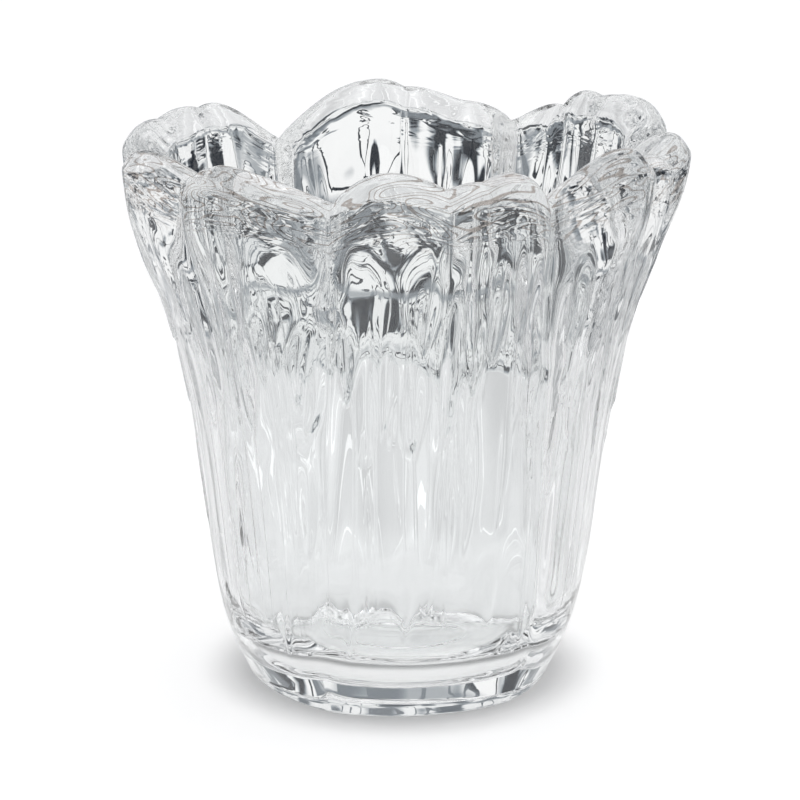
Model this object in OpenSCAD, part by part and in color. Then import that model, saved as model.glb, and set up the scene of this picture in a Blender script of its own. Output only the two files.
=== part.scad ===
// Clear glass vase, cast and worked hot in one piece.
// A round foot with flattened sides opens into six flared petals, each with two lobes.
// The origin is the middle of the flat underside, and +Z runs up the vase.
// Turns are counted from the front, -Y, towards +X.

/* [Overall] */
// Height of the rim at the dips between the petals
rim_h = 158; // [130:1:190]
// How far a full lobe stands above the dips
lobe_rise = 12.5; // [2:0.5:20]
// Outer radius of the rim at a full lobe
rim_r = 84; // [70:0.5:100]
// Outer radius of the foot where it stands
foot_r = 46.5; // [38:0.5:52]

/* [Glass] */
// Thickness of the wall
wall_t = 6.5; // [4:0.25:9]
// Thickness of the round lip at the dips between the petals
lip_t = 9.5; // [5:0.25:12]
// Thickness of the floor
floor_t = 9; // [4:0.5:20]
// Radius of the corner between the wall and the floor inside
floor_corner_r = 26; // [6:0.5:30]
// Radius of the ground edge round the underside
foot_edge_r = 1.2; // [0.4:0.1:3]

/* [Petals] */
// Number of petals
petals = 6; // [4:1:9]
// How far the rim is drawn in at the dips between the petals
dip_in = 10; // [0:0.5:16]
// How far each lobe swells into the vase under its lip
swell_in = 4.5; // [0:0.25:6]
// How far each lobe swells out of the vase under its lip
swell_out = 1.5; // [0:0.25:3]
// Depth of the groove that runs down from each dip
groove_d = 1.6; // [0:0.1:3]
// Half the width of that groove
groove_w = 4.5; // [2:0.25:8]
// How far the middle of each side of the foot is flattened
side_flat = 1.5; // [0:0.1:3]

/* [Hidden] */

// Height of the middle of the wavy rim
rim_mid_h = rim_h + lobe_rise / 2;

// Outline of the outer wall: height as a share of rim_mid_h, and radius as a share
// of the way from foot_r to rim_r
outline_shares = [
    [0, 0], [0.055, 0.115], [0.11, 0.2], [0.2, 0.28], [0.38, 0.375], [0.56, 0.49],
    [0.70, 0.645], [0.81, 0.82], [0.90, 0.96], [0.96, 1], [1, 1]
];
// The glass is uneven, because the petals were shaped by hand. Where each petal
// starts, beyond its even place, as a share of a petal's width
foot_turn_shares = [-0.10, 0.07, 0, -0.08, -0.10, -0.13];
rim_turn_shares = [0.07, -0.07, 0, -0.17, -0.10, -0.13];
// Places across each petal's width of its first lobe, the low point between the
// lobes and its second lobe
lobe_place_shares = [
    [0.26, 0.56, 0.75], [0.23, 0.50, 0.75], [0.31, 0.62, 0.82],
    [0.23, 0.36, 0.55], [0.25, 0.45, 0.66], [0.40, 0.58, 0.68]
];
// How much of lobe_rise each of the two lobes has
lobe_rise_shares = [[1.00, 0.90], [1.10, 0.80], [1.05, 0.50], [0.36, 0.88], [0.64, 0.62], [0.84, 0.92]];
// How much of the way out from the dips to rim_r each of the two lobes reaches
lobe_reach_shares = [[0.70, 0.70], [0.95, 1.04], [1.05, 0.85], [0.85, 0.92], [0.92, 1.05], [1.00, 0.92]];
// How far each lobe's swell crosses the low point beside it, in widths up to that point
lobe_blend_shares = [1.3, 1.26, 1.45, 1.7, 1.65, 1.3];
// How narrow each lobe is: 1 is a round arch, less is a blunt one
lobe_narrow = [[1, 1], [1, 0.9], [0.45, 1.4], [1, 1.6], [1.4, 1], [1, 1]];
// How far each dip stands from rim_h, as a share of lobe_rise, and how much of
// dip_in it has
dip_rise_shares = [0.06, -0.10, 0.16, 0.04, -0.36, 0.16];
dip_in_shares = [1, 1, 0.75, 1, 1, 0.45];

// Turn of the left edge of the first petal, where the petals are even
first_turn = -20;
petal_turn = 360 / petals;
// Width of a lobe's side towards the petal's edge, as a share of the gap there
lobe_side_share = 1.06;
// Heights between which the petals, the grooves and the flattened sides come and
// go, as shares of rim_mid_h
petal_from_share = 0.42;
groove_deep_from_share = 0.55;
groove_full_share = 0.25;
flat_until_share = 0.32;
// Depth of the grooves at the rim, and of the grooves inside, as shares of groove_d
groove_rim_share = 1.8;
groove_inside_share = 0.35;
// Heights between which the wall thickens to the lip's thickness, as shares of the
// wall's height
lip_from_share = 0.66;
lip_full_share = 0.88;
// Where the swell under each lip is full and where it ends, as shares of rim_mid_h
// below the crest
swell_full_share = 0.038;
swell_end_share = 0.2;
// How late the wall bends up into the lobes: a higher power bends it nearer the rim
rim_bend = 4;

// Rows of points up the wall, round the lip and round the floor's corner, and
// columns of points across a petal
outer_rows = 24;
inner_rows = 20;
lip_rows = 5;
corner_rows = 7;
edge_rows = 2;
petal_columns = 16;
columns = petals * petal_columns;
// How much closer the rows lie near the rim
rows_to_rim_share = 0.6;

function mix(a, b, s) = a + (b - a) * s;
function clamp(x) = min(1, max(0, x));
function ease(a, b, x) = let (s = clamp((x - a) / (b - a))) s * s * (3 - 2 * s);

// The outline's points as real sizes, and a smooth curve through them
outline = [for (p = outline_shares) [p[0] * rim_mid_h, mix(foot_r, rim_r, p[1])]];
last = len(outline) - 1;
function slope(i) =
    let (a = outline[max(0, i - 1)], b = outline[min(last, i + 1)])
    (b[1] - a[1]) / (b[0] - a[0]);
function piece_at(z, i = 0) = (i >= last - 1 || z < outline[i + 1][0]) ? i : piece_at(z, i + 1);
function outer_r(z) =
    let (i = piece_at(z), a = outline[i], b = outline[i + 1], h = b[0] - a[0], s = clamp((z - a[0]) / h))
    mix(a[1], b[1], s * s * (3 - 2 * s)) + h * s * (1 - s) * (slope(i) * (1 - s) - slope(i + 1) * s);

// Direction out of the outer wall in the section, at a height
probe = lip_t / 20;
function outward(z) =
    let (g = (outer_r(z + probe) - outer_r(z - probe)) / (2 * probe))
    [1, -g] / norm([1, -g]);

// Half of the vase's section, as points [radius, height], from the underside up the
// outer wall, over the lip and down inside to the floor
top_z = rim_mid_h - lip_t / 2;
function wall_at(z) = mix(wall_t, lip_t, ease(lip_from_share, lip_full_share, z / top_z));
function up_wall(z, i, rows) = let (t = i / rows) mix(z, top_z, mix(t, t * (2 - t), rows_to_rim_share));
edge_points = [for (i = [0:edge_rows - 1]) let (a = 90 * i / edge_rows)
    [outer_r(foot_edge_r) - foot_edge_r * (1 - sin(a)), foot_edge_r * (1 - cos(a))]];
outer_points = [for (i = [0:outer_rows]) let (z = up_wall(foot_edge_r, i, outer_rows)) [outer_r(z), z]];
lip_out = outward(top_z);
lip_up = [-lip_out[1], lip_out[0]];
lip_points = [for (i = [1:lip_rows]) let (a = 180 * i / (lip_rows + 1))
    [outer_r(top_z), top_z] - lip_out * (lip_t / 2) * (1 - cos(a)) + lip_up * (lip_t / 2) * sin(a)];
inside_from = floor_t + floor_corner_r;
inner_points = [for (i = [inner_rows:-1:0]) let (z = up_wall(inside_from, i, inner_rows))
    [outer_r(z), z] - outward(z) * wall_at(z)];
corner_start = inner_points[inner_rows];
corner_points = [for (i = [1:corner_rows]) let (a = 90 * i / corner_rows)
    [corner_start[0] - floor_corner_r * (1 - cos(a)), mix(corner_start[1], floor_t, sin(a))]];
section = concat(edge_points, outer_points, lip_points, inner_points, corner_points);

// A petal's two lobes across its width u, each a swell that is 1 at its middle
function pick(table, k) = table[k % len(table)];
function swell(u, middle, before, after, narrow) =
    let (d = u < middle ? (middle - u) / before : (u - middle) / after)
    pow(cos(90 * clamp(d)), narrow);
function lobes(k, u) =
    let (place = pick(lobe_place_shares, k),
         blend = pick(lobe_blend_shares, k),
         narrow = pick(lobe_narrow, k))
    [swell(u, place[0], place[0] * lobe_side_share, (place[1] - place[0]) * blend, narrow[0]),
     swell(u, place[2], (place[2] - place[1]) * blend, (1 - place[2]) * lobe_side_share, narrow[1])];

function rim_rise(k, u) =
    let (w = lobes(k, u), dip = mix(pick(dip_rise_shares, k), pick(dip_rise_shares, k + 1), u))
    lobe_rise * (mix(dip, 0, clamp(w[0] + w[1])) + pick(lobe_rise_shares, k) * w);
function drawn_in(k, u) =
    dip_in * mix(pick(dip_in_shares, k), pick(dip_in_shares, k + 1), u)
        * (1 - pick(lobe_reach_shares, k) * lobes(k, u));

// Turn of the left edge of petal k at a height, and of a point across the petal
function edge_turn(k, s) =
    first_turn + petal_turn * (k + mix(pick(foot_turn_shares, k), pick(rim_turn_shares, k), ease(0, 1, s)));
function turn_at(k, u, s) = mix(edge_turn(k, s), edge_turn(k + 1, s), u);

// Swell under the lips at a height: full near the crest, none lower down
function swelled(s) =
    ease(0, swell_full_share, 1 - s) * (1 - ease(swell_full_share, swell_end_share, 1 - s));

// Moves a point of the section to its place on petal k, a share u across its width.
// The share inside is 0 outside, 1 inside, and between the two on the lip
function shaped(p, k, u, inside) =
    let (s = p[1] / rim_mid_h,
         petal = ease(petal_from_share, 1, s),
         arc = p[0] * PI * petal_turn / 180,
         from_edge = arc * min(u, 1 - u),
         groove = groove_d * ease(0, groove_full_share, s)
             * mix(1, groove_rim_share, ease(groove_deep_from_share, 1, s)),
         flat = side_flat * (1 - ease(0, flat_until_share, s)) * sin(180 * u),
         lobe = lobes(k, u),
         r = p[0] - petal * drawn_in(k, u)
             - mix(1, groove_inside_share, inside) * groove * exp(-pow(from_edge / groove_w, 2))
             - mix(flat, 0, inside)
             + mix(swell_out, -swell_in, inside) * swelled(s) * clamp(lobe[0] + lobe[1]),
         z = p[1] + (rim_rise(k, u) - lobe_rise / 2) * pow(clamp(s), rim_bend),
         a = turn_at(k, u, s))
    [r * sin(a), -r * cos(a), z];

outer_count = len(edge_points) + len(outer_points);
points = [for (j = [0:len(section) - 1], i = [0:columns - 1])
    shaped(section[j], floor(i / petal_columns), (i % petal_columns) / petal_columns,
        clamp((j - outer_count + 1) / (lip_rows + 1)))];
rows = len(section);
function at(j, i) = j * columns + i % columns;
wall_faces = [for (j = [0:rows - 2], i = [0:columns - 1], f = [0:1])
    f == 0 ? [at(j, i), at(j + 1, i), at(j + 1, i + 1)] : [at(j, i), at(j + 1, i + 1), at(j, i + 1)]];
under_face = [for (i = [0:columns - 1]) at(0, i)];
floor_face = [for (i = [columns - 1:-1:0]) at(rows - 1, i)];

module vase() {
    color([0.88, 0.91, 0.9, 0.45])
        polyhedron(points = points, faces = concat(wall_faces, [under_face], [floor_face]), convexity = 6);
}

vase();
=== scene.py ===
"""A clear cast glass vase with six flared petals, standing on a pale studio floor."""

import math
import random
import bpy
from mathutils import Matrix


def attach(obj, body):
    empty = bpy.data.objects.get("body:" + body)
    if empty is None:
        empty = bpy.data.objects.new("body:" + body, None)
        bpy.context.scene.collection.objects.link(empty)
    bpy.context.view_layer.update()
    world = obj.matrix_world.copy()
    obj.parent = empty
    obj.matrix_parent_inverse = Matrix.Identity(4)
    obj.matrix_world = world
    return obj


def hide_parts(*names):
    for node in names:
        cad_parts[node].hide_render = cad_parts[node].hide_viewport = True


bl_info = {
    "name": "Petal Glass Vase",
    "version": (1, 0, 0),
    "blender": (4, 5, 0),
    "location": "View3D > Sidebar > Glass Vase",
    "description": "Builds a clear glass vase with a wavy petal rim, and a studio to show it in",
    "category": "Add Mesh",
}

import bmesh
import bpy
from bpy.props import FloatProperty, FloatVectorProperty, IntProperty, PointerProperty
from bpy.types import Operator, Panel, PropertyGroup
from mathutils import Vector, noise

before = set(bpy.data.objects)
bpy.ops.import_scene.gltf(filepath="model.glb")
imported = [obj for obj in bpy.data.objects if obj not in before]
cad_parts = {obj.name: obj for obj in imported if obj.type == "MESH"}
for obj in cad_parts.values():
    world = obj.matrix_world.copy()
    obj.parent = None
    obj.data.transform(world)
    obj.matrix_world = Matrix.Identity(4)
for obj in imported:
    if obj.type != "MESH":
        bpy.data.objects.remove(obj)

PETALS = 6
PETAL_TURN = 2 * math.pi / PETALS
FIRST_TURN = math.radians(-20)

# Outline of the outer wall: height as a share of the middle of the rim, and radius as
# a share of the way from the foot's to the rim's
OUTLINE_SHARES = (
    (0, 0), (0.055, 0.115), (0.11, 0.2), (0.2, 0.28), (0.38, 0.375), (0.56, 0.49),
    (0.70, 0.645), (0.81, 0.82), (0.90, 0.96), (0.96, 1), (1, 1),
)
# Where each petal starts beyond its even place, as a share of a petal's width
FOOT_TURN_SHARES = (-0.10, 0.07, 0, -0.08, -0.10, -0.13)
RIM_TURN_SHARES = (0.07, -0.07, 0, -0.17, -0.10, -0.13)
# Places across each petal of its first lobe, the low point and its second lobe
LOBE_PLACE_SHARES = (
    (0.26, 0.56, 0.75), (0.23, 0.50, 0.75), (0.31, 0.62, 0.82),
    (0.23, 0.36, 0.55), (0.25, 0.45, 0.66), (0.40, 0.58, 0.68),
)
LOBE_RISE_SHARES = (
    (1.00, 0.90), (1.10, 0.80), (1.05, 0.50), (0.36, 0.88), (0.64, 0.62), (0.84, 0.92))
LOBE_REACH_SHARES = (
    (0.70, 0.70), (0.95, 1.04), (1.05, 0.85), (0.85, 0.92), (0.92, 1.05), (1.00, 0.92))
# How far each lobe's swell crosses the low point, and how narrow each lobe is
LOBE_BLEND_SHARES = (1.3, 1.26, 1.45, 1.7, 1.65, 1.3)
LOBE_NARROW = ((1, 1), (1, 0.9), (0.45, 1.4), (1, 1.6), (1.4, 1), (1, 1))
DIP_RISE_SHARES = (0.06, -0.10, 0.16, 0.04, -0.36, 0.16)
DIP_IN_SHARES = (1, 1, 0.75, 1, 1, 0.45)
LOBE_SIDE_SHARE = 1.06
PETAL_FROM_SHARE = 0.42
GROOVE_DEEP_FROM_SHARE = 0.55
GROOVE_FULL_SHARE = 0.25
FLAT_UNTIL_SHARE = 0.32
GROOVE_RIM_SHARE = 1.8
GROOVE_INSIDE_SHARE = 0.35
LIP_FROM_SHARE = 0.66
LIP_FULL_SHARE = 0.88
SWELL_FULL_SHARE = 0.038
SWELL_END_SHARE = 0.2
RIM_BEND = 4
LIP_ROWS = 15
CORNER_ROWS = 12
EDGE_ROWS = 4
ROWS_TO_RIM_SHARE = 0.6
# Places of the rows across the underside and the inner floor, as shares of their flat parts
UNDERSIDE_SHARES = (0, 0.3, 0.6, 0.85, 0.96)
FLOOR_SHARES = (0.97, 0.93, 0.90, 0.87, 0.84, 0.80, 0.6, 0.3, 0)
# How far up and down the outline is probed for its slope, as a share of the lip
PROBE_SHARE = 0.05
# The spin makes one column in this many, and a subdivision the ones between
SPLITS = 8
MERGE_DISTANCE = 1e-6
# The mark that the mould left on the inner floor: radius, half width and height
MARK_RADIUS, MARK_WIDTH, MARK_HEIGHT = 0.0212, 0.0009, 0.0005

# The relief of the hand-worked glass, and how far down from the crest of the lip it goes. A
# wave has its lengths across and along the wall, and they are true at this radius
RELIEF_REACH, WAVE_RADIUS = 0.16, 0.075
# How much of the relief the inside has, and a shift that makes its waves other ones
INSIDE_SHARE, INSIDE_SHIFT = 0.3, 0.7
# Ways down from the crest between which something starts or ends: the lumps and ripples
UNDER_LIP, LUMPS_END = (0.006, 0.018), (0.03, 0.06)
LUMP_WAVE = (0.013, 0.018)
RIPPLE_WAVE, FINE_RIPPLE_WAVE, FINE_RIPPLE_SHARE = (0.0100, 0.2), (0.0050, 0.2), 0.08
# The ripples end at uneven places: the middle one, how far they spread, and their fade
RIPPLE_END, RIPPLE_END_SPREAD, RIPPLE_END_WAVE, RIPPLE_FADE = 0.060, 0.034, (0.0054, 1), 0.026
# Fainter ripples run on down the wall
LOW_RIPPLE_WAVE, LOW_RIPPLE_SHARE, LOW_RIPPLES_END = (0.0083, 0.12), 0.5, (0.13, 0.155)
# How far ripples and drips sway sideways under the lip: radians on one, petals on the other
SWAY, SWAY_WAVE, SWAY_END = 0.04, (0.015, 0.04), (0.02, 0.07)
# Pinch marks on the outside: place in petals, height, half width and how proud
KNOTS = ((0.00, 0.131, 0.0050, 0.0016), (5.88, 0.088, 0.0034, 0.0012), (1.05, 0.110, 0.0050, 0.0016))
# The hollow round a pinch mark, as a share of how proud it is, and how far the mark pushes
# the drips aside. A spread is a multiple of the mark's own, and a reach is in half widths
KNOT_HOLLOW_SHARE, KNOT_HOLLOW_SPREAD = 0.5, 3
KNOT_PUSH, KNOT_PUSH_SPREAD, KNOT_REACH = 0.05, 4, 4
# Drips on the outside that show at the front: place in petals, heights of the tip and of
# the top, half width, and how proud against a drip
FRONT_DRIPS = (
    (0.95, 0.074, 0.150, 0.0026, 2.0), (1.07, 0.082, 0.150, 0.0022, 1.8), (0.53, 0.090, 0.128, 0.0018, 1.2),
    (0.27, 0.093, 0.125, 0.0016, 1.2), (0.39, 0.031, 0.060, 0.0022, 1.2), (0.76, 0.034, 0.056, 0.0022, 1.2),
    (0.92, 0.100, 0.140, 0.0034, 1.3), (5.52, 0.104, 0.145, 0.0030, 1.2), (5.77, 0.106, 0.130, 0.0014, 1.0),
    (0.10, 0.103, 0.128, 0.0026, 1.2), (5.40, 0.117, 0.150, 0.0024, 1.2), (0.72, 0.115, 0.150, 0.0022, 1.2),
    (1.25, 0.112, 0.150, 0.0036, 1.2), (1.34, 0.121, 0.152, 0.0026, 1.2), (0.56, 0.108, 0.140, 0.0016, 1.0),
    (0.42, 0.118, 0.145, 0.0034, 1.2), (5.90, 0.100, 0.128, 0.0020, 1.0),
)
# The rest of the drips are scattered. Of each sort: how many, the ranges of their tips'
# heights, lengths, half widths and how proud they are, and the seed of their chances
FINE_DRIPS = (46, (0.086, 0.126), (0.022, 0.045), (0.0018, 0.0026), (0.4, 1.0), 5)
BROAD_DRIPS = (26, (0.084, 0.120), (0.030, 0.055), (0.0028, 0.0040), (0.9, 1.6), 7)
LOW_DRIPS = (26, (0.020, 0.080), (0.025, 0.045), (0.0014, 0.0026), (0.4, 0.9), 3)
INSIDE_DRIPS = (18, (0.086, 0.128), (0.030, 0.050), (0.0030, 0.0050), (0.3, 0.6), 11)
# How far a scattered drip may be from its even place, as a share of their spacing
UNEVEN_SHARE = 0.4
# How far to its sides a drip shapes the glass, in petals
DRIP_REACH = 0.16
# The pointed part of a drip as a share of its length, how blunt its point is, and its
# least width as a share of the full one
DRIP_POINT_SHARE, DRIP_POINT_POWER, DRIP_LEAST_SHARE = 0.5, 0.7, 0.12

GLASS_IOR = 1.5
# Dark lines painted into the colour of the front lip, a painted reflection: the waves that
# they follow, how bent and how many they are and where a line's edge starts and ends
LIP_REFLECTION_WAVE, LIP_REFLECTION_BEND, LIP_REFLECTION_COUNT, LIP_REFLECTION_EDGES = (0.025, 0.0070), 0.8, 6.0, (0.07, 0.14)
# Where they end: down from the crest, round towards the back, and over into the inside
LIP_REFLECTIONS_END, LIP_REFLECTIONS_BACK, LIP_REFLECTIONS_OUTSIDE = (0.014, 0.024), (-0.3, 0.2), (0.1, 0.35)
# Swirls on the outside under the lip, and threads down the wall, in the bump alone
SWIRL_WAVE, SWIRL_BEND, SWIRL_HEIGHT, SWIRLS_END = (0.009, 0.0030), 1.2, 0.12, (0.012, 0.024)
THREAD_WAVE, THREAD_WIDTH, THREAD_HEIGHT = (0.011, 0.20), 0.04, -0.06
THREADS_START, THREADS_END = (0.03, 0.05), (0.12, 0.15)
BUMP_DISTANCE = 0.001

CAMERA_PLACE, CAMERA_AIM, CAMERA_LENS = (0, -0.9, 0.342), (0, 0, 0.0847), 139.2
SOFTBOX_PLACE, SOFTBOX_AIM, SOFTBOX_SIZE, SOFTBOX_POWER = (0.1, 0.1, 1.7), (0, 0, 0.08), 2.2, 17
# How often light may go on through the glass, and be mirrored in it
GLASS_BOUNCES, MIRROR_BOUNCES = 32, 16
# The room's light by height, from the horizon up
ROOM_COLOURS = (
    (0.0, (1, 1, 1)), (0.30, (1, 1, 1.02)), (0.50, (0.7, 0.7, 0.714)), (0.70, (0.55, 0.55, 0.561)),
    (1.0, (0.15, 0.15, 0.16)))
FLOOR_HALF, FLOOR_GAP, FLOOR_ROUGHNESS = 8, 0.0003, 0.9
# The floor's own light, by distance from the vase's axis: where a change starts and ends,
# and the light before and after it. The changes are added up. The first gives less light
# at the foot, a painted shadow over the real one, and the last two make the floor white further off
FLOOR_LIFT_AND_PAINTED_SHADOW = ((0.045, 0.065, 0.1, 0.46), (0.1, 0.3, 0, -0.12), (0.4, 2.0, 0, 0.15), (1.0, 5.0, 0, 0.6))
# How much of that glass shows, and in the same way a painted pool of light under the foot and painted
# darker rings round it, which only glass shows
GLASS_LIFT_SHARE = 0.25
PAINTED_FOOT_LIGHT_AND_SHADE = (
    (0.039, 0.045, 0.54, 0), (0.044, 0.049, 0, 0.30), (0.054, 0.066, 0, -0.06), (0.070, 0.160, 0, -0.19))
# Spokes of light that glass shows on the floor: how many thin and broad ones and their
# light, the thin ones' width, and where they start and are full
THIN_SPOKES, BROAD_SPOKES = (9.0, 0.35), (8.0, 0.70)
THIN_SPOKE_WIDTH, SPOKES_FROM = 0.010, (0.06, 0.12)
# Rings of backdrop round the vase that only glass shows: radius, height, how light it is,
# and how much of the pattern shows there
HANGING_RING = (
    (0.6, 0.000, 0.95, 1), (0.6, 0.026, 0.95, 1), (0.6, 0.042, 0.44, 0.5), (0.6, 0.056, 0.44, 0.5),
    (0.6, 0.074, 1, 1), (0.6, 0.165, 1, 1), (0.6, 0.180, 0.9, 0.8), (0.6, 0.300, 0.9, 0.8),
    (0.6, 0.400, 1, 1), (0.6, 0.600, 0.7, 1))
LYING_RING = (
    (0.37, 0.0006, 0.84, 0), (0.40, 0.0006, 0.86, 1), (0.50, 0.0006, 0.95, 1), (0.60, 0.0006, 0.95, 1))
RING_STEPS = 720
# The backdrop is plain white behind the camera. Between these turns from it, in degrees,
# the backdrop takes on its own light and pattern
PATTERN_TURNS = (70, 100)
# The pattern: how fine and how bent the lines and the patches are, how many lines there
# are, and where the edge of a line or a patch starts and ends
LINE_SCALE, LINE_BEND, LINE_COUNT, LINE_EDGES = 11.0, 0.5, 5.0, (0.05, 0.08)
PATCH_SCALE, PATCH_BEND, PATCH_EDGES = 12.0, 0.3, (0.48, 0.60)
PATTERN_SHIFT = (1.26, 0.51, 0.21)
PATTERN_COLOURS = ((0.0, (0.0, 0.004, 0.012)), (0.3, (0.27, 0.30, 0.33)), (1.0, (1, 1, 1)))


class VaseSizes(PropertyGroup):
    """Sizes of the glass."""

    rim_height: FloatProperty(
        name="Rim height", description="Height of the rim at the dips between the petals",
        default=0.158, min=0.13, max=0.19, unit="LENGTH")
    lobe_rise: FloatProperty(
        name="Lobe rise", description="How far a full lobe stands above the dips",
        default=0.0125, min=0.002, max=0.02, unit="LENGTH")
    rim_radius: FloatProperty(
        name="Rim radius", description="Outer radius of the rim at a full lobe",
        default=0.084, min=0.07, max=0.1, unit="LENGTH")
    foot_radius: FloatProperty(
        name="Foot radius", description="Outer radius of the foot where it stands",
        default=0.0465, min=0.038, max=0.052, unit="LENGTH")
    wall: FloatProperty(
        name="Wall", description="Thickness of the wall",
        default=0.0065, min=0.004, max=0.009, unit="LENGTH")
    lip: FloatProperty(
        name="Lip", description="Thickness of the round lip at the dips",
        default=0.0095, min=0.005, max=0.014, unit="LENGTH")
    floor: FloatProperty(
        name="Floor", description="Thickness of the floor",
        default=0.009, min=0.004, max=0.02, unit="LENGTH")
    floor_corner: FloatProperty(
        name="Floor corner", description="Radius of the corner between the wall and the floor inside",
        default=0.026, min=0.006, max=0.03, unit="LENGTH")
    foot_edge: FloatProperty(
        name="Foot edge", description="Radius of the ground edge round the underside",
        default=0.0012, min=0.0004, max=0.003, unit="LENGTH")
    dip_in: FloatProperty(
        name="Dip in", description="How far the rim is drawn in at the dips between the petals",
        default=0.010, min=0, max=0.016, unit="LENGTH")
    groove_depth: FloatProperty(
        name="Groove depth", description="Depth of the groove that runs down from each dip",
        default=0.0016, min=0, max=0.003, unit="LENGTH")
    groove_width: FloatProperty(
        name="Groove width", description="Half the width of that groove",
        default=0.0045, min=0.002, max=0.008, unit="LENGTH")
    side_flat: FloatProperty(
        name="Flat sides", description="How far the middle of each side of the foot is flattened",
        default=0.0015, min=0, max=0.003, unit="LENGTH")
    swell_in: FloatProperty(
        name="Swell inwards", description="How far each lobe swells into the vase under its lip",
        default=0.0045, min=0, max=0.006, unit="LENGTH")
    swell_out: FloatProperty(
        name="Swell outwards", description="How far each lobe swells out of the vase under its lip",
        default=0.0015, min=0, max=0.003, unit="LENGTH")
    lump: FloatProperty(
        name="Lump", description="Height of the lumps in the hand-worked glass under the lip",
        default=0.0006, min=0, max=0.002, unit="LENGTH")
    ripple: FloatProperty(
        name="Ripple", description="Height of the ripples that run down from the rim",
        default=0.0002, min=0, max=0.001, unit="LENGTH")
    drip: FloatProperty(
        name="Drip", description="How proud the drips stand",
        default=0.0008, min=0, max=0.002, unit="LENGTH")
    columns: IntProperty(
        name="Columns", description="Columns of faces across a petal, a multiple of 4",
        default=104, min=24, max=120)
    outer_rows: IntProperty(
        name="Outer rows", description="Rows of faces up the outside of the wall",
        default=68, min=12, max=80)
    inner_rows: IntProperty(
        name="Inner rows", description="Rows of faces down the inside of the wall",
        default=42, min=12, max=60)


class VaseFinish(PropertyGroup):
    """Finish of the glass, with the colour of its painted reflection lines, and light of the studio."""

    glass_colour: FloatVectorProperty(
        name="Glass colour", description="Colour that the glass gives to light that enters it",
        default=(0.925, 0.935, 0.935), size=3, min=0, max=1, subtype="COLOR")
    # The thin lines of the front lip are a painted reflection in the glass's colour
    lip_reflection_colour: FloatVectorProperty(
        name="Lip line colour", description="Colour of the thin lines in the glass of the front lip",
        default=(0.30, 0.25, 0.22), size=3, min=0, max=1, subtype="COLOR")
    floor_colour: FloatVectorProperty(
        name="Floor colour", description="Colour of the studio floor",
        default=(0.8, 0.8, 0.8), size=3, min=0, max=1, subtype="COLOR")
    room_light: FloatProperty(
        name="Room light", description="Brightness of the room that lights the vase from all round",
        default=0.9, min=0, max=1, subtype="FACTOR")


def mix(a, b, share):
    return a + (b - a) * share


def clamp(x):
    return min(1.0, max(0.0, x))


def ease(a, b, x):
    share = clamp((x - a) / (b - a))
    return share * share * (3 - 2 * share)


def swell(u, middle, before, after, narrow):
    """1 at a lobe's middle, falling to 0 at its sides."""
    away = (middle - u) / before if u < middle else (u - middle) / after
    return math.cos(math.pi / 2 * clamp(away)) ** narrow


def steps_up(rows):
    """Shares of the way up a wall, closer together near the rim."""
    return [mix(i / rows, i / rows * (2 - i / rows), ROWS_TO_RIM_SHARE) for i in range(rows + 1)]


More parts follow.
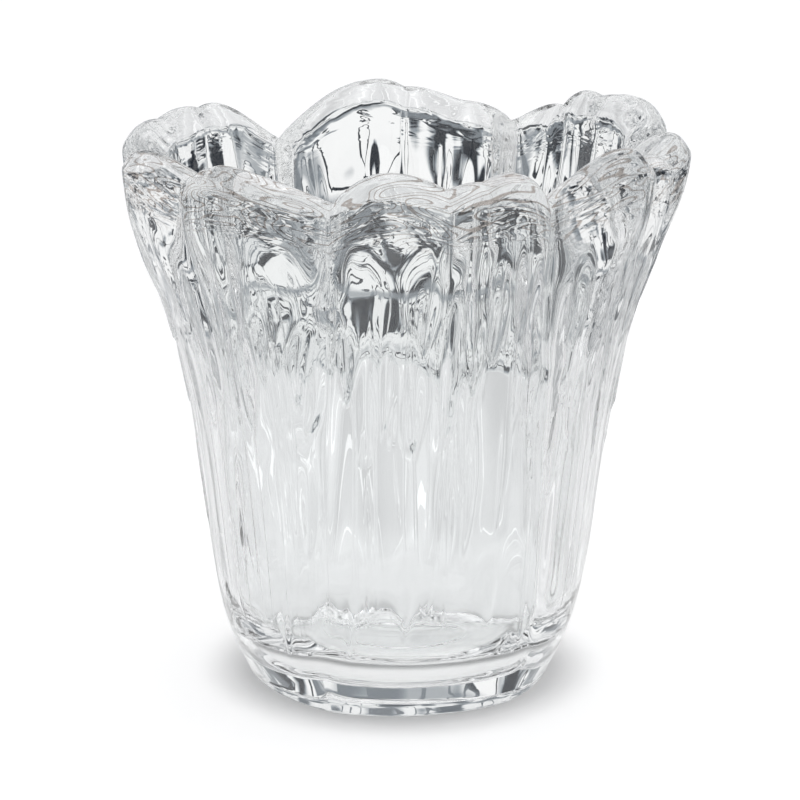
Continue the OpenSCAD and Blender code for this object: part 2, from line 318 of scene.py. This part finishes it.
class Outline:
    """The outer wall's outline, before the petals are shaped, and the section that follows it."""

    def __init__(self, sizes):
        self.s = sizes
        self.rim_mid = sizes.rim_height + sizes.lobe_rise / 2
        self.top = self.rim_mid - sizes.lip / 2
        foot, rim = sizes.foot_radius, sizes.rim_radius
        self.points = [(height * self.rim_mid, mix(foot, rim, out)) for height, out in OUTLINE_SHARES]

    def slope(self, i):
        a = self.points[max(0, i - 1)]
        b = self.points[min(len(self.points) - 1, i + 1)]
        return (b[1] - a[1]) / (b[0] - a[0])

    def radius(self, z):
        last = len(self.points) - 2
        i = next((i for i in range(last) if z < self.points[i + 1][0]), last)
        (z0, r0), (z1, r1) = self.points[i:i + 2]
        h = z1 - z0
        t = clamp((z - z0) / h)
        bend = h * t * (1 - t) * (self.slope(i) * (1 - t) - self.slope(i + 1) * t)
        return mix(r0, r1, t * t * (3 - 2 * t)) + bend

    def outward(self, z):
        """Direction out of the outer wall in the section."""
        probe = self.s.lip * PROBE_SHARE
        rise = (self.radius(z + probe) - self.radius(z - probe)) / (2 * probe)
        return Vector((1, -rise)).normalized()

    def inner(self, z):
        """Point of the inner wall that lies behind the outer wall at a height."""
        wall = mix(self.s.wall, self.s.lip, ease(LIP_FROM_SHARE, LIP_FULL_SHARE, z / self.top))
        return Vector((self.radius(z), z)) - self.outward(z) * wall

    def section(self):
        """Half of the section, from the middle of the underside up the outer wall, over the
        lip and down to the middle of the floor. Each point is its place as radius and
        height, the way out of the glass there, and how far inside it is."""
        s, quarter = self.s, math.pi / 2
        flat = Vector((0, 0))
        edge = self.radius(s.foot_edge) - s.foot_edge
        under = [(Vector((edge * share, 0)), flat, 0) for share in UNDERSIDE_SHARES]
        turns = [quarter * i / EDGE_ROWS for i in range(EDGE_ROWS)]
        ground = [Vector((edge + s.foot_edge * math.sin(a), s.foot_edge * (1 - math.cos(a))))
                  for a in turns]
        ground = [(place, flat, 0) for place in ground]
        outside = [mix(s.foot_edge, self.top, t) for t in steps_up(s.outer_rows)]
        outside = [(Vector((self.radius(z), z)), self.outward(z), 0) for z in outside]
        out = self.outward(self.top)
        up = Vector((-out.y, out.x))
        middle = Vector((self.radius(self.top), self.top)) - out * s.lip / 2
        turns = [math.pi * i / LIP_ROWS for i in range(1, LIP_ROWS)]
        lip = [(out * math.cos(a) + up * math.sin(a), a / math.pi) for a in turns]
        lip = [(middle + way * s.lip / 2, way, inside) for way, inside in lip]
        start = s.floor + s.floor_corner
        inside = [mix(start, self.top, t) for t in reversed(steps_up(s.inner_rows))]
        inside = [(self.inner(z), -self.outward(z), 1) for z in inside]
        r, z = inside[-1][0]
        turns = [quarter * i / CORNER_ROWS for i in range(1, CORNER_ROWS + 1)]
        corner = [Vector((r - s.floor_corner * (1 - math.cos(a)), mix(z, s.floor, math.sin(a))))
                  for a in turns]
        corner = [(place, flat, 1) for place in corner]
        floor = [(Vector((corner[-1][0].x * share, s.floor)), flat, 1) for share in FLOOR_SHARES]
        return under + ground + outside + lip + inside + corner + floor


class Row:
    """What one row of the spun section does all round the vase."""

    def __init__(self, outline, place, way, inside, below):
        s = outline.s
        self.r, self.z = place
        self.way, self.inside, self.below = way, inside, below
        self.share = share = self.z / outline.rim_mid
        self.twist = ease(0, 1, share)
        self.petal = ease(PETAL_FROM_SHARE, 1, share) * s.dip_in
        groove = s.groove_depth * ease(0, GROOVE_FULL_SHARE, share)
        groove *= mix(1, GROOVE_RIM_SHARE, ease(GROOVE_DEEP_FROM_SHARE, 1, share))
        self.groove = groove * mix(1, GROOVE_INSIDE_SHARE, inside)
        self.flat = s.side_flat * (1 - ease(0, FLAT_UNTIL_SHARE, share)) * (1 - inside)
        self.flat *= clamp(self.r / s.foot_radius)
        self.rise = s.lobe_rise * clamp(share) ** RIM_BEND
        under = 1 - share
        swelled = ease(0, SWELL_FULL_SHARE, under) * (1 - ease(SWELL_FULL_SHARE, SWELL_END_SHARE, under))
        self.swell = mix(s.swell_out, -s.swell_in, inside) * swelled


def rows_of(outline):
    """The section's rows, each with its way along the glass from the crest of the lip."""
    section = outline.section()
    crest = max(range(len(section)), key=lambda i: section[i][0].y)
    ways = [0]
    for (a, _, _), (b, _, _) in zip(section, section[1:]):
        ways.append(ways[-1] + (b - a).length)
    return [Row(outline, *point, abs(way - ways[crest])) for point, way in zip(section, ways)]


class Column:
    """What one column of the spun section does from the foot to the rim."""

    def __init__(self, k, u):
        self.k, self.u = k, u
        after = (k + 1) % PETALS
        low, narrow, blend = LOBE_PLACE_SHARES[k], LOBE_NARROW[k], LOBE_BLEND_SHARES[k]
        first = swell(u, low[0], low[0] * LOBE_SIDE_SHARE, (low[1] - low[0]) * blend, narrow[0])
        second = swell(u, low[2], (low[2] - low[1]) * blend, (1 - low[2]) * LOBE_SIDE_SHARE, narrow[1])
        reach = LOBE_REACH_SHARES[k][0] * first + LOBE_REACH_SHARES[k][1] * second
        self.draw = mix(DIP_IN_SHARES[k], DIP_IN_SHARES[after], u) * (1 - reach)
        dip = mix(DIP_RISE_SHARES[k], DIP_RISE_SHARES[after], u) * (1 - clamp(first + second))
        self.rise = dip + LOBE_RISE_SHARES[k][0] * first + LOBE_RISE_SHARES[k][1] * second - 0.5
        self.lobes = clamp(first + second)
        self.edge = min(u, 1 - u)
        self.foot = mix(FOOT_TURN_SHARES[k], FOOT_TURN_SHARES[after], u)
        self.rim = mix(RIM_TURN_SHARES[k], RIM_TURN_SHARES[after], u)

    def turn(self, twist):
        return FIRST_TURN + PETAL_TURN * (self.k + self.u + mix(self.foot, self.rim, twist))


def placed(sizes, row, column):
    """Radius, turn and height of a point of the spun section on its petal."""
    from_edge = row.r * PETAL_TURN * column.edge / sizes.groove_width
    groove = row.groove * math.exp(-from_edge * from_edge)
    flat = row.flat * math.sin(math.pi * column.u)
    radius = row.r - row.petal * column.draw - groove - flat + row.swell * column.lobes
    return radius, column.turn(row.twist), row.z + row.rise * column.rise


def wave(x, y, z, lengths):
    """Smooth noise from -1 to 1, with waves of these lengths across and along the wall."""
    across, along = lengths
    around = WAVE_RADIUS / across
    return noise.noise((around * x, around * y, z / along))


def wrap(place):
    """A place or an offset in petals, from -3 to 3."""
    return (place + PETALS / 2) % PETALS - PETALS / 2


def scattered(sort):
    """Drips of a sort at uneven places all round: place in petals, tip, top, half width and how proud."""
    count, tips, lengths, widths, prouds, seed = sort
    chance = random.Random(seed)
    drips = []
    for i in range(count):
        place = (i + chance.uniform(-UNEVEN_SHARE, UNEVEN_SHARE)) * PETALS / count
        tip = chance.uniform(*tips)
        top = tip + chance.uniform(*lengths)
        drips.append((place, tip, top, chance.uniform(*widths), chance.uniform(*prouds)))
    return drips


class Relief:
    """The hand-worked relief over the plain wall: lumps, ripples, drips and pinch marks."""

    def __init__(self, sizes, columns):
        self.s = sizes
        outside = list(FRONT_DRIPS) + scattered(FINE_DRIPS) + scattered(BROAD_DRIPS) + scattered(LOW_DRIPS)
        self.drips = []
        for drips in (outside, scattered(INSIDE_DRIPS)):
            self.drips.append([
                [drip for drip in drips if abs(wrap(column.k + column.u - drip[0])) < DRIP_REACH]
                for column in columns])

    def pinched(self, row, place, z):
        """Height of the pinch marks at a place, and how far they push the drips aside."""
        bump = push = 0
        for middle, knot_z, width, proud in KNOTS:
            across = row.r * PETAL_TURN * wrap(place - middle) / width
            away = across * across + ((z - knot_z) / width) ** 2
            if away < KNOT_REACH ** 2:
                bump += proud * (math.exp(-away) - KNOT_HOLLOW_SHARE * math.exp(-away / KNOT_HOLLOW_SPREAD))
                push += KNOT_PUSH * across * math.exp(-away / KNOT_PUSH_SPREAD)
        return bump, push

    def height(self, row, column, number, turn, z):
        """Height of the relief at a place on the wall."""
        s, below, inside = self.s, row.below, round(row.inside)
        if not row.way.length or below > RELIEF_REACH:
            return 0
        place = column.k + column.u
        shift = INSIDE_SHIFT * inside
        x, y = math.cos(turn), math.sin(turn)
        sway = SWAY * wave(x, y, z + shift, SWAY_WAVE) * (1 - ease(*SWAY_END, below))
        bump, push = (0, 0) if row.inside else self.pinched(row, place, z)
        sway += push
        x, y = math.cos(turn + sway), math.sin(turn + sway)
        under_lip = ease(*UNDER_LIP, below)
        lumps = wave(x, y, below + shift, LUMP_WAVE) * under_lip * (1 - ease(*LUMPS_END, below))
        end = RIPPLE_END + RIPPLE_END_SPREAD * wave(x, y, shift, RIPPLE_END_WAVE)
        ripples = FINE_RIPPLE_SHARE * wave(x, y, z + shift, FINE_RIPPLE_WAVE)
        ripples += wave(x, y, z - shift, RIPPLE_WAVE)
        ripples *= under_lip * (1 - ease(end - RIPPLE_FADE, end, below))
        low_ripples = wave(x, y, z + shift, LOW_RIPPLE_WAVE) * (1 - ease(*LOW_RIPPLES_END, below))
        bump += mix(1, INSIDE_SHARE, row.inside) * (s.lump * lumps + s.ripple * ripples)
        bump += LOW_RIPPLE_SHARE * s.ripple * low_ripples
        for middle, tip, top, width, proud in self.drips[inside][number]:
            if tip < z < top:
                taper = clamp((z - tip) / (DRIP_POINT_SHARE * (top - tip))) ** DRIP_POINT_POWER
                width *= max(taper, DRIP_LEAST_SHARE)
                across = row.r * PETAL_TURN * wrap(place + sway - middle) / width
                fade = 1 - ease(mix(tip, top, DRIP_POINT_SHARE), top, z)
                bump += s.drip * proud * math.exp(-across * across) * fade
        return bump


def build_vase(sizes):
    """Spins the section, then moves each point to its place on its petal."""
    mesh = bmesh.new()
    index = mesh.verts.layers.int.new("row")
    below = mesh.verts.layers.float.new("below_rim")
    outside = mesh.verts.layers.float.new("outside")
    rows = rows_of(Outline(sizes))
    section = [mesh.verts.new((row.r, 0, row.z)) for row in rows]
    for i, vert in enumerate(section):
        vert[index] = i
        vert[below] = rows[i].below
        vert[outside] = 1 - rows[i].inside
    edges = [mesh.edges.new(pair) for pair in zip(section, section[1:])]
    count = PETALS * sizes.columns
    if count % SPLITS:
        raise ValueError("the columns of all petals together have to be a multiple of %d" % SPLITS)
    bmesh.ops.spin(
        mesh, geom=section + edges, cent=(0, 0, 0), axis=(0, 0, 1), angle=2 * math.pi,
        steps=count // SPLITS, use_merge=True)
    bmesh.ops.remove_doubles(mesh, verts=mesh.verts, dist=MERGE_DISTANCE)
    rings = [edge for edge in mesh.edges if edge.verts[0][index] == edge.verts[1][index]]
    bmesh.ops.subdivide_edges(mesh, edges=rings, cuts=SPLITS - 1, use_grid_fill=True)
    bmesh.ops.recalc_face_normals(mesh, faces=mesh.faces)
    places = [divmod(i, sizes.columns) for i in range(count)]
    columns = [Column(petal, across / sizes.columns) for petal, across in places]
    relief = Relief(sizes, columns)

    def number_of(vert):
        return round(math.atan2(vert.co.y, vert.co.x) / (2 * math.pi) * count) % count

    # The subdivision leaves the vertices in another order on each run
    mesh.verts.sort(key=lambda vert: vert[index] * count + number_of(vert))
    for vert in mesh.verts:
        row = rows[vert[index]]
        if row.r == 0:
            continue
        number = number_of(vert)
        radius, turn, height = placed(sizes, row, columns[number])
        bump = relief.height(row, columns[number], number, turn, height)
        radius += bump * row.way.x
        height += bump * row.way.y
        if row.inside and not row.way.length:
            height += MARK_HEIGHT * math.exp(-((row.r - MARK_RADIUS) / MARK_WIDTH) ** 2)
        vert.co = (radius * math.sin(turn), -radius * math.cos(turn), height)
    return mesh


def order_faces(mesh):
    """Puts the faces in the order of their corners, because their own order differs on each run."""
    mesh.verts.index_update()
    ordered = sorted(mesh.faces, key=lambda face: sorted(vert.index for vert in face.verts))
    for place, face in enumerate(ordered):
        face.index = place
    mesh.faces.sort()


def link(name, mesh, material):
    """Makes a smooth object of a bmesh, with its place in its mesh."""
    order_faces(mesh)
    data = bpy.data.meshes.new(name)
    mesh.to_mesh(data)
    mesh.free()
    data.polygons.foreach_set("use_smooth", [True] * len(data.polygons))
    data.materials.append(material)
    piece = bpy.data.objects.new(name, data)
    bpy.context.scene.collection.objects.link(piece)
    return piece


def new_material(name):
    material = bpy.data.materials.new(name)
    material.use_nodes = True
    tree = material.node_tree
    return material, tree, tree.nodes["Principled BSDF"]


def node(tree, kind, **values):
    made = tree.nodes.new(kind)
    for name, value in values.items():
        setattr(made, name, value)
    return made


def feed(tree, socket, value):
    """Gives a socket a number, or links a value to it."""
    if isinstance(value, (int, float)):
        socket.default_value = value
    else:
        tree.links.new(value, socket)


def math_node(tree, operation, *values):
    made = node(tree, "ShaderNodeMath", operation=operation)
    for socket, value in zip(made.inputs, values):
        feed(tree, socket, value)
    return made.outputs[0]


def product(tree, first, *others):
    for other in others:
        first = math_node(tree, "MULTIPLY", first, other)
    return first


def step(tree, value, start, end, low=0.0, high=1.0):
    """A smooth step from low before start to high past end."""
    made = node(tree, "ShaderNodeMapRange", interpolation_type="SMOOTHSTEP")
    tree.links.new(value, made.inputs["Value"])
    for name, given in (("From Min", start), ("From Max", end), ("To Min", low), ("To Max", high)):
        feed(tree, made.inputs[name], given)
    return made.outputs["Result"]


def clouds(tree, place, scale, detail=1.0, distortion=0.0):
    """Noise from 0 to 1 over a place."""
    made = node(tree, "ShaderNodeTexNoise")
    tree.links.new(place, made.inputs["Vector"])
    made.inputs["Scale"].default_value = scale
    made.inputs["Detail"].default_value = detail
    made.inputs["Distortion"].default_value = distortion
    return made.outputs["Fac"]


def colour_ramp(tree, value, stops):
    """A colour that follows a value through stops of place and colour."""
    made = node(tree, "ShaderNodeValToRGB")
    tree.links.new(value, made.inputs[0])
    elements = made.color_ramp.elements
    elements.remove(elements[1])
    elements[0].position, elements[0].color = stops[0][0], (*stops[0][1], 1)
    for place, colour in stops[1:]:
        elements.new(place).color = (*colour, 1)
    return made.outputs["Color"]


def attribute(tree, name):
    return node(tree, "ShaderNodeAttribute", attribute_name=name).outputs["Fac"]


def contour_lines():
    """The group of nodes that draws thin lines where a value passes even steps: 1 on a line,
    0 between them, with the line's edge from Start to End."""
    made = bpy.data.node_groups.get("contour_lines")
    if made:
        return made
    made = bpy.data.node_groups.new("contour_lines", "ShaderNodeTree")
    for name in ("Value", "Count", "Start", "End"):
        made.interface.new_socket(name, in_out="INPUT", socket_type="NodeSocketFloat")
    made.interface.new_socket("Lines", in_out="OUTPUT", socket_type="NodeSocketFloat")
    given = node(made, "NodeGroupInput").outputs
    away = math_node(made, "FRACT", product(made, given["Value"], given["Count"]))
    away = math_node(made, "ABSOLUTE", math_node(made, "SUBTRACT", away, 0.5))
    lines = step(made, away, given["Start"], given["End"], 1.0, 0.0)
    made.links.new(lines, node(made, "NodeGroupOutput").inputs["Lines"])
    return made


def contours(tree, value, count, edges):
    placed_group = node(tree, "ShaderNodeGroup", node_tree=contour_lines())
    for name, given in (("Value", value), ("Count", count), ("Start", edges[0]), ("End", edges[1])):
        feed(tree, placed_group.inputs[name], given)
    return placed_group.outputs["Lines"]


def clear_glass(finish):
    """Clear glass with the swirls and threads that hot working leaves, in its bump, and dark warm lines
    painted into the colour of the front lip, a painted reflection.
    """
    material, tree, shader = new_material("clear_glass")
    shader.inputs["Roughness"].default_value = 0.0
    shader.inputs["IOR"].default_value = GLASS_IOR
    shader.inputs["Transmission Weight"].default_value = 1.0
    split = node(tree, "ShaderNodeSeparateXYZ")
    tree.links.new(node(tree, "ShaderNodeTexCoord").outputs["Object"], split.inputs[0])
    x, y, z = (split.outputs[axis] for axis in "XYZ")
    radius = math_node(tree, "SQRT", math_node(tree, "MULTIPLY_ADD", x, x, product(tree, y, y)))
    x = math_node(tree, "DIVIDE", x, radius)
    y = math_node(tree, "DIVIDE", y, radius)
    below = attribute(tree, "below_rim")
    outside = attribute(tree, "outside")

    def waves(lengths, height, distortion=0.0):
        """Noise from -1 to 1 with waves of these lengths across and along the wall."""
        across, along = lengths
        place = node(tree, "ShaderNodeCombineXYZ")
        tree.links.new(product(tree, x, WAVE_RADIUS / across), place.inputs["X"])
        tree.links.new(product(tree, y, WAVE_RADIUS / across), place.inputs["Y"])
        tree.links.new(math_node(tree, "DIVIDE", height, along), place.inputs["Z"])
        made = clouds(tree, place.outputs[0], 1.0, distortion=distortion)
        return math_node(tree, "MULTIPLY_ADD", made, 2.0, -1.0)

    def until(value, start, end):
        """1 before start, falling to 0 at end."""
        return step(tree, value, start, end, 1.0, 0.0)

    # Painted reflection: dark warm lines painted into the colour of the lip, only at its front
    lines = contours(tree, waves(LIP_REFLECTION_WAVE, below, LIP_REFLECTION_BEND), LIP_REFLECTION_COUNT, LIP_REFLECTION_EDGES)
    lines = product(
        tree, lines, until(below, *LIP_REFLECTIONS_END), until(y, *LIP_REFLECTIONS_BACK),
        step(tree, outside, *LIP_REFLECTIONS_OUTSIDE))
    reflection_tinted = node(tree, "ShaderNodeMix", data_type="RGBA")
    tree.links.new(lines, reflection_tinted.inputs["Factor"])
    reflection_tinted.inputs["A"].default_value = (*finish.glass_colour, 1)
    reflection_tinted.inputs["B"].default_value = (*finish.lip_reflection_colour, 1)
    tree.links.new(reflection_tinted.outputs["Result"], shader.inputs["Base Color"])
    swirls = product(tree, waves(SWIRL_WAVE, below, SWIRL_BEND), until(below, *SWIRLS_END), outside)
    threads = until(math_node(tree, "ABSOLUTE", waves(THREAD_WAVE, z)), 0.0, THREAD_WIDTH)
    threads = product(tree, threads, until(below, *THREADS_END), step(tree, below, *THREADS_START))
    bump = node(tree, "ShaderNodeBump")
    bump.inputs["Distance"].default_value = BUMP_DISTANCE
    swirls = product(tree, swirls, SWIRL_HEIGHT)
    height = math_node(tree, "MULTIPLY_ADD", threads, THREAD_HEIGHT, swirls)
    tree.links.new(height, bump.inputs["Height"])
    tree.links.new(bump.outputs[0], shader.inputs["Normal"])
    return material


class VASE_OT_glass(Operator):
    """Spins and shapes the vase's glass"""

    bl_idname = "vase.glass"
    bl_label = "Glass"

    def execute(self, context):
        mesh = build_vase(context.scene.vase_sizes)
        piece = link("vase_glass", mesh, clear_glass(context.scene.vase_finish))
        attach(piece, "root")
        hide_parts("vase")
        return {"FINISHED"}


def studio_world(finish):
    """A white backdrop for the camera, and for the rest a bright horizon under a dark ceiling."""
    world = bpy.data.worlds.new("studio")
    world.use_nodes = True
    tree = world.node_tree
    tree.nodes.clear()
    axes = node(tree, "ShaderNodeSeparateXYZ")
    tree.links.new(node(tree, "ShaderNodeTexCoord").outputs["Generated"], axes.inputs[0])
    room = node(tree, "ShaderNodeBackground")
    room.inputs["Strength"].default_value = finish.room_light
    tree.links.new(colour_ramp(tree, axes.outputs["Z"], ROOM_COLOURS), room.inputs["Color"])
    seen = node(tree, "ShaderNodeBackground")
    seen.inputs["Color"].default_value = (1, 1, 1, 1)
    chosen = node(tree, "ShaderNodeMixShader")
    tree.links.new(node(tree, "ShaderNodeLightPath").outputs["Is Camera Ray"], chosen.inputs[0])
    tree.links.new(room.outputs[0], chosen.inputs[1])
    tree.links.new(seen.outputs[0], chosen.inputs[2])
    tree.links.new(chosen.outputs[0], node(tree, "ShaderNodeOutputWorld").inputs["Surface"])
    return world


def studio_floor(finish):
    """A pale floor that glows white further off and glows less near the vase, a painted shadow at its
    foot over the real one. For glass it also has a painted pool of light under the foot, standing in for
    the light that the glass gathers there, and painted darker rings round it."""
    mesh = bmesh.new()
    bmesh.ops.create_grid(mesh, x_segments=1, y_segments=1, size=FLOOR_HALF)
    bmesh.ops.translate(mesh, verts=mesh.verts, vec=(0, 0, -FLOOR_GAP))
    material, tree, shader = new_material("studio_floor")
    where = node(tree, "ShaderNodeTexCoord").outputs["Object"]
    far = node(tree, "ShaderNodeVectorMath", operation="LENGTH")
    way = node(tree, "ShaderNodeVectorMath", operation="NORMALIZE")
    tree.links.new(where, far.inputs[0])
    tree.links.new(where, way.inputs[0])

    def added(changes):
        """Sum of changes with the distance from the middle."""
        total = 0.0
        for change in changes:
            total = math_node(tree, "ADD", step(tree, far.outputs["Value"], *change), total)
        return total

    def spokes(count):
        """Noise from -0.5 to 0.5 that changes only round the vase."""
        return math_node(tree, "SUBTRACT", clouds(tree, way.outputs[0], count), 0.5)

    path = node(tree, "ShaderNodeLightPath").outputs
    glass = math_node(tree, "MAXIMUM", path["Is Glossy Ray"], path["Is Transmission Ray"])
    seen = math_node(tree, "MULTIPLY_ADD", glass, GLASS_LIFT_SHARE, path["Is Camera Ray"])
    # Less glow at the foot paints a shadow there over the real one
    shown = product(tree, added(FLOOR_LIFT_AND_PAINTED_SHADOW), seen)
    (thin_count, thin_light), (broad_count, broad_light) = THIN_SPOKES, BROAD_SPOKES
    thin = math_node(tree, "LESS_THAN", math_node(tree, "ABSOLUTE", spokes(thin_count)), THIN_SPOKE_WIDTH)
    streaks = math_node(
        tree, "MULTIPLY_ADD", spokes(broad_count), broad_light, product(tree, thin, thin_light))
    streaks = product(tree, streaks, step(tree, far.outputs["Value"], *SPOKES_FROM))
    # Only glass shows this: a painted pool of light under the foot and painted darker rings round it, with
    # the spokes added
    painted_foot_light_and_shade = math_node(tree, "ADD", added(PAINTED_FOOT_LIGHT_AND_SHADE), streaks)
    shown = math_node(tree, "MULTIPLY_ADD", glass, painted_foot_light_and_shade, shown)
    shader.inputs["Base Color"].default_value = (*finish.floor_colour, 1)
    shader.inputs["Roughness"].default_value = FLOOR_ROUGHNESS
    shader.inputs["Specular IOR Level"].default_value = 0.0
    shader.inputs["Emission Color"].default_value = (1, 1, 1, 1)
    tree.links.new(shown, shader.inputs["Emission Strength"])
    link("studio_floor", mesh, material)


def backdrop():
    """Backdrop that only glass shows, with a pattern of dark patches and thin curved lines. Its
    mesh says how light it is at a place, and how much of the pattern shows there."""
    material, tree, shader = new_material("backdrop")
    shifted = node(tree, "ShaderNodeVectorMath", operation="ADD")
    tree.links.new(node(tree, "ShaderNodeTexCoord").outputs["Object"], shifted.inputs[0])
    shifted.inputs[1].default_value = PATTERN_SHIFT
    place = shifted.outputs[0]
    lines = contours(tree, clouds(tree, place, LINE_SCALE, distortion=LINE_BEND), LINE_COUNT, LINE_EDGES)
    patches = step(tree, clouds(tree, place, PATCH_SCALE, distortion=PATCH_BEND), *PATCH_EDGES)
    dark = product(tree, math_node(tree, "MAXIMUM", lines, patches), attribute(tree, "pattern"))
    shown = product(tree, math_node(tree, "SUBTRACT", 1.0, dark), attribute(tree, "level"))
    tree.links.new(colour_ramp(tree, shown, PATTERN_COLOURS), shader.inputs["Emission Color"])
    shader.inputs["Emission Strength"].default_value = 1.0
    shader.inputs["Base Color"].default_value = (0, 0, 0, 1)
    shader.inputs["Specular IOR Level"].default_value = 0.0
    return material


def backdrop_ring(name, section, material):
    """Spins a section of radius, height, level and share of the pattern into a ring of backdrop."""
    mesh = bmesh.new()
    level = mesh.verts.layers.float.new("level")
    pattern = mesh.verts.layers.float.new("pattern")
    verts = [mesh.verts.new((0, -radius, height)) for radius, height, _, _ in section]
    for vert, (_, _, base, share) in zip(verts, section):
        vert[level], vert[pattern] = base, share
    edges = [mesh.edges.new(pair) for pair in zip(verts, verts[1:])]
    bmesh.ops.spin(
        mesh, geom=verts + edges, cent=(0, 0, 0), axis=(0, 0, 1), angle=2 * math.pi,
        steps=RING_STEPS, use_merge=True)
    for vert in mesh.verts:
        turn = math.degrees(math.atan2(vert.co.x, -vert.co.y))
        behind = ease(*PATTERN_TURNS, abs(turn))
        vert[level] = mix(1, vert[level], behind)
        vert[pattern] *= behind
    piece = link(name, mesh, material)
    piece.visible_camera = piece.visible_diffuse = piece.visible_shadow = False


def lamp(name, place, aim, size, power):
    data = bpy.data.lights.new(name, "AREA")
    data.shape = "SQUARE"
    data.size = size
    data.energy = power
    made = bpy.data.objects.new(name, data)
    made.location = place
    made.rotation_euler = (Vector(aim) - Vector(place)).to_track_quat("-Z", "Y").to_euler()
    bpy.context.scene.collection.objects.link(made)


class VASE_OT_stage(Operator):
    """Sets up the floor, the lamps, the backdrop and the camera"""

    bl_idname = "vase.stage"
    bl_label = "Studio"

    def execute(self, context):
        scene = context.scene
        finish = scene.vase_finish
        scene.view_settings.view_transform = "Standard"
        scene.world = studio_world(finish)
        studio_floor(finish)
        material = backdrop()
        backdrop_ring("hanging_ring", HANGING_RING, material)
        backdrop_ring("lying_ring", LYING_RING, material)
        lamp("overhead_softbox", SOFTBOX_PLACE, SOFTBOX_AIM, SOFTBOX_SIZE, SOFTBOX_POWER)
        camera = bpy.data.objects.new("camera", bpy.data.cameras.new("camera"))
        camera.data.lens = CAMERA_LENS
        camera.location = CAMERA_PLACE
        aim = Vector(CAMERA_AIM) - camera.location
        camera.rotation_euler = aim.to_track_quat("-Z", "Y").to_euler()
        scene.collection.objects.link(camera)
        scene.camera = camera
        scene.cycles.max_bounces = GLASS_BOUNCES
        scene.cycles.transmission_bounces = GLASS_BOUNCES
        scene.cycles.glossy_bounces = MIRROR_BOUNCES
        return {"FINISHED"}


class VASE_PT_panel(Panel):
    """Lists the vase's steps and its settings"""

    bl_idname = "VASE_PT_panel"
    bl_label = "Glass Vase"
    bl_space_type = "VIEW_3D"
    bl_region_type = "UI"
    bl_category = "Glass Vase"

    def draw(self, context):
        for button in (VASE_OT_glass, VASE_OT_stage):
            self.layout.operator(button.bl_idname)
        for group in (context.scene.vase_sizes, context.scene.vase_finish):
            box = self.layout.box()
            for name in group.bl_rna.properties.keys():
                if name not in ("rna_type", "name"):
                    box.prop(group, name)


CLASSES = (VaseSizes, VaseFinish, VASE_OT_glass, VASE_OT_stage, VASE_PT_panel)


def register():
    for made in CLASSES:
        bpy.utils.register_class(made)
    bpy.types.Scene.vase_sizes = PointerProperty(type=VaseSizes)
    bpy.types.Scene.vase_finish = PointerProperty(type=VaseFinish)


def unregister():
    del bpy.types.Scene.vase_finish
    del bpy.types.Scene.vase_sizes
    for made in reversed(CLASSES):
        bpy.utils.unregister_class(made)


def main():
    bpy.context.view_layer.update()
    register()
    bpy.ops.vase.glass()
    bpy.ops.vase.stage()


if __name__ == "__main__":
    main()
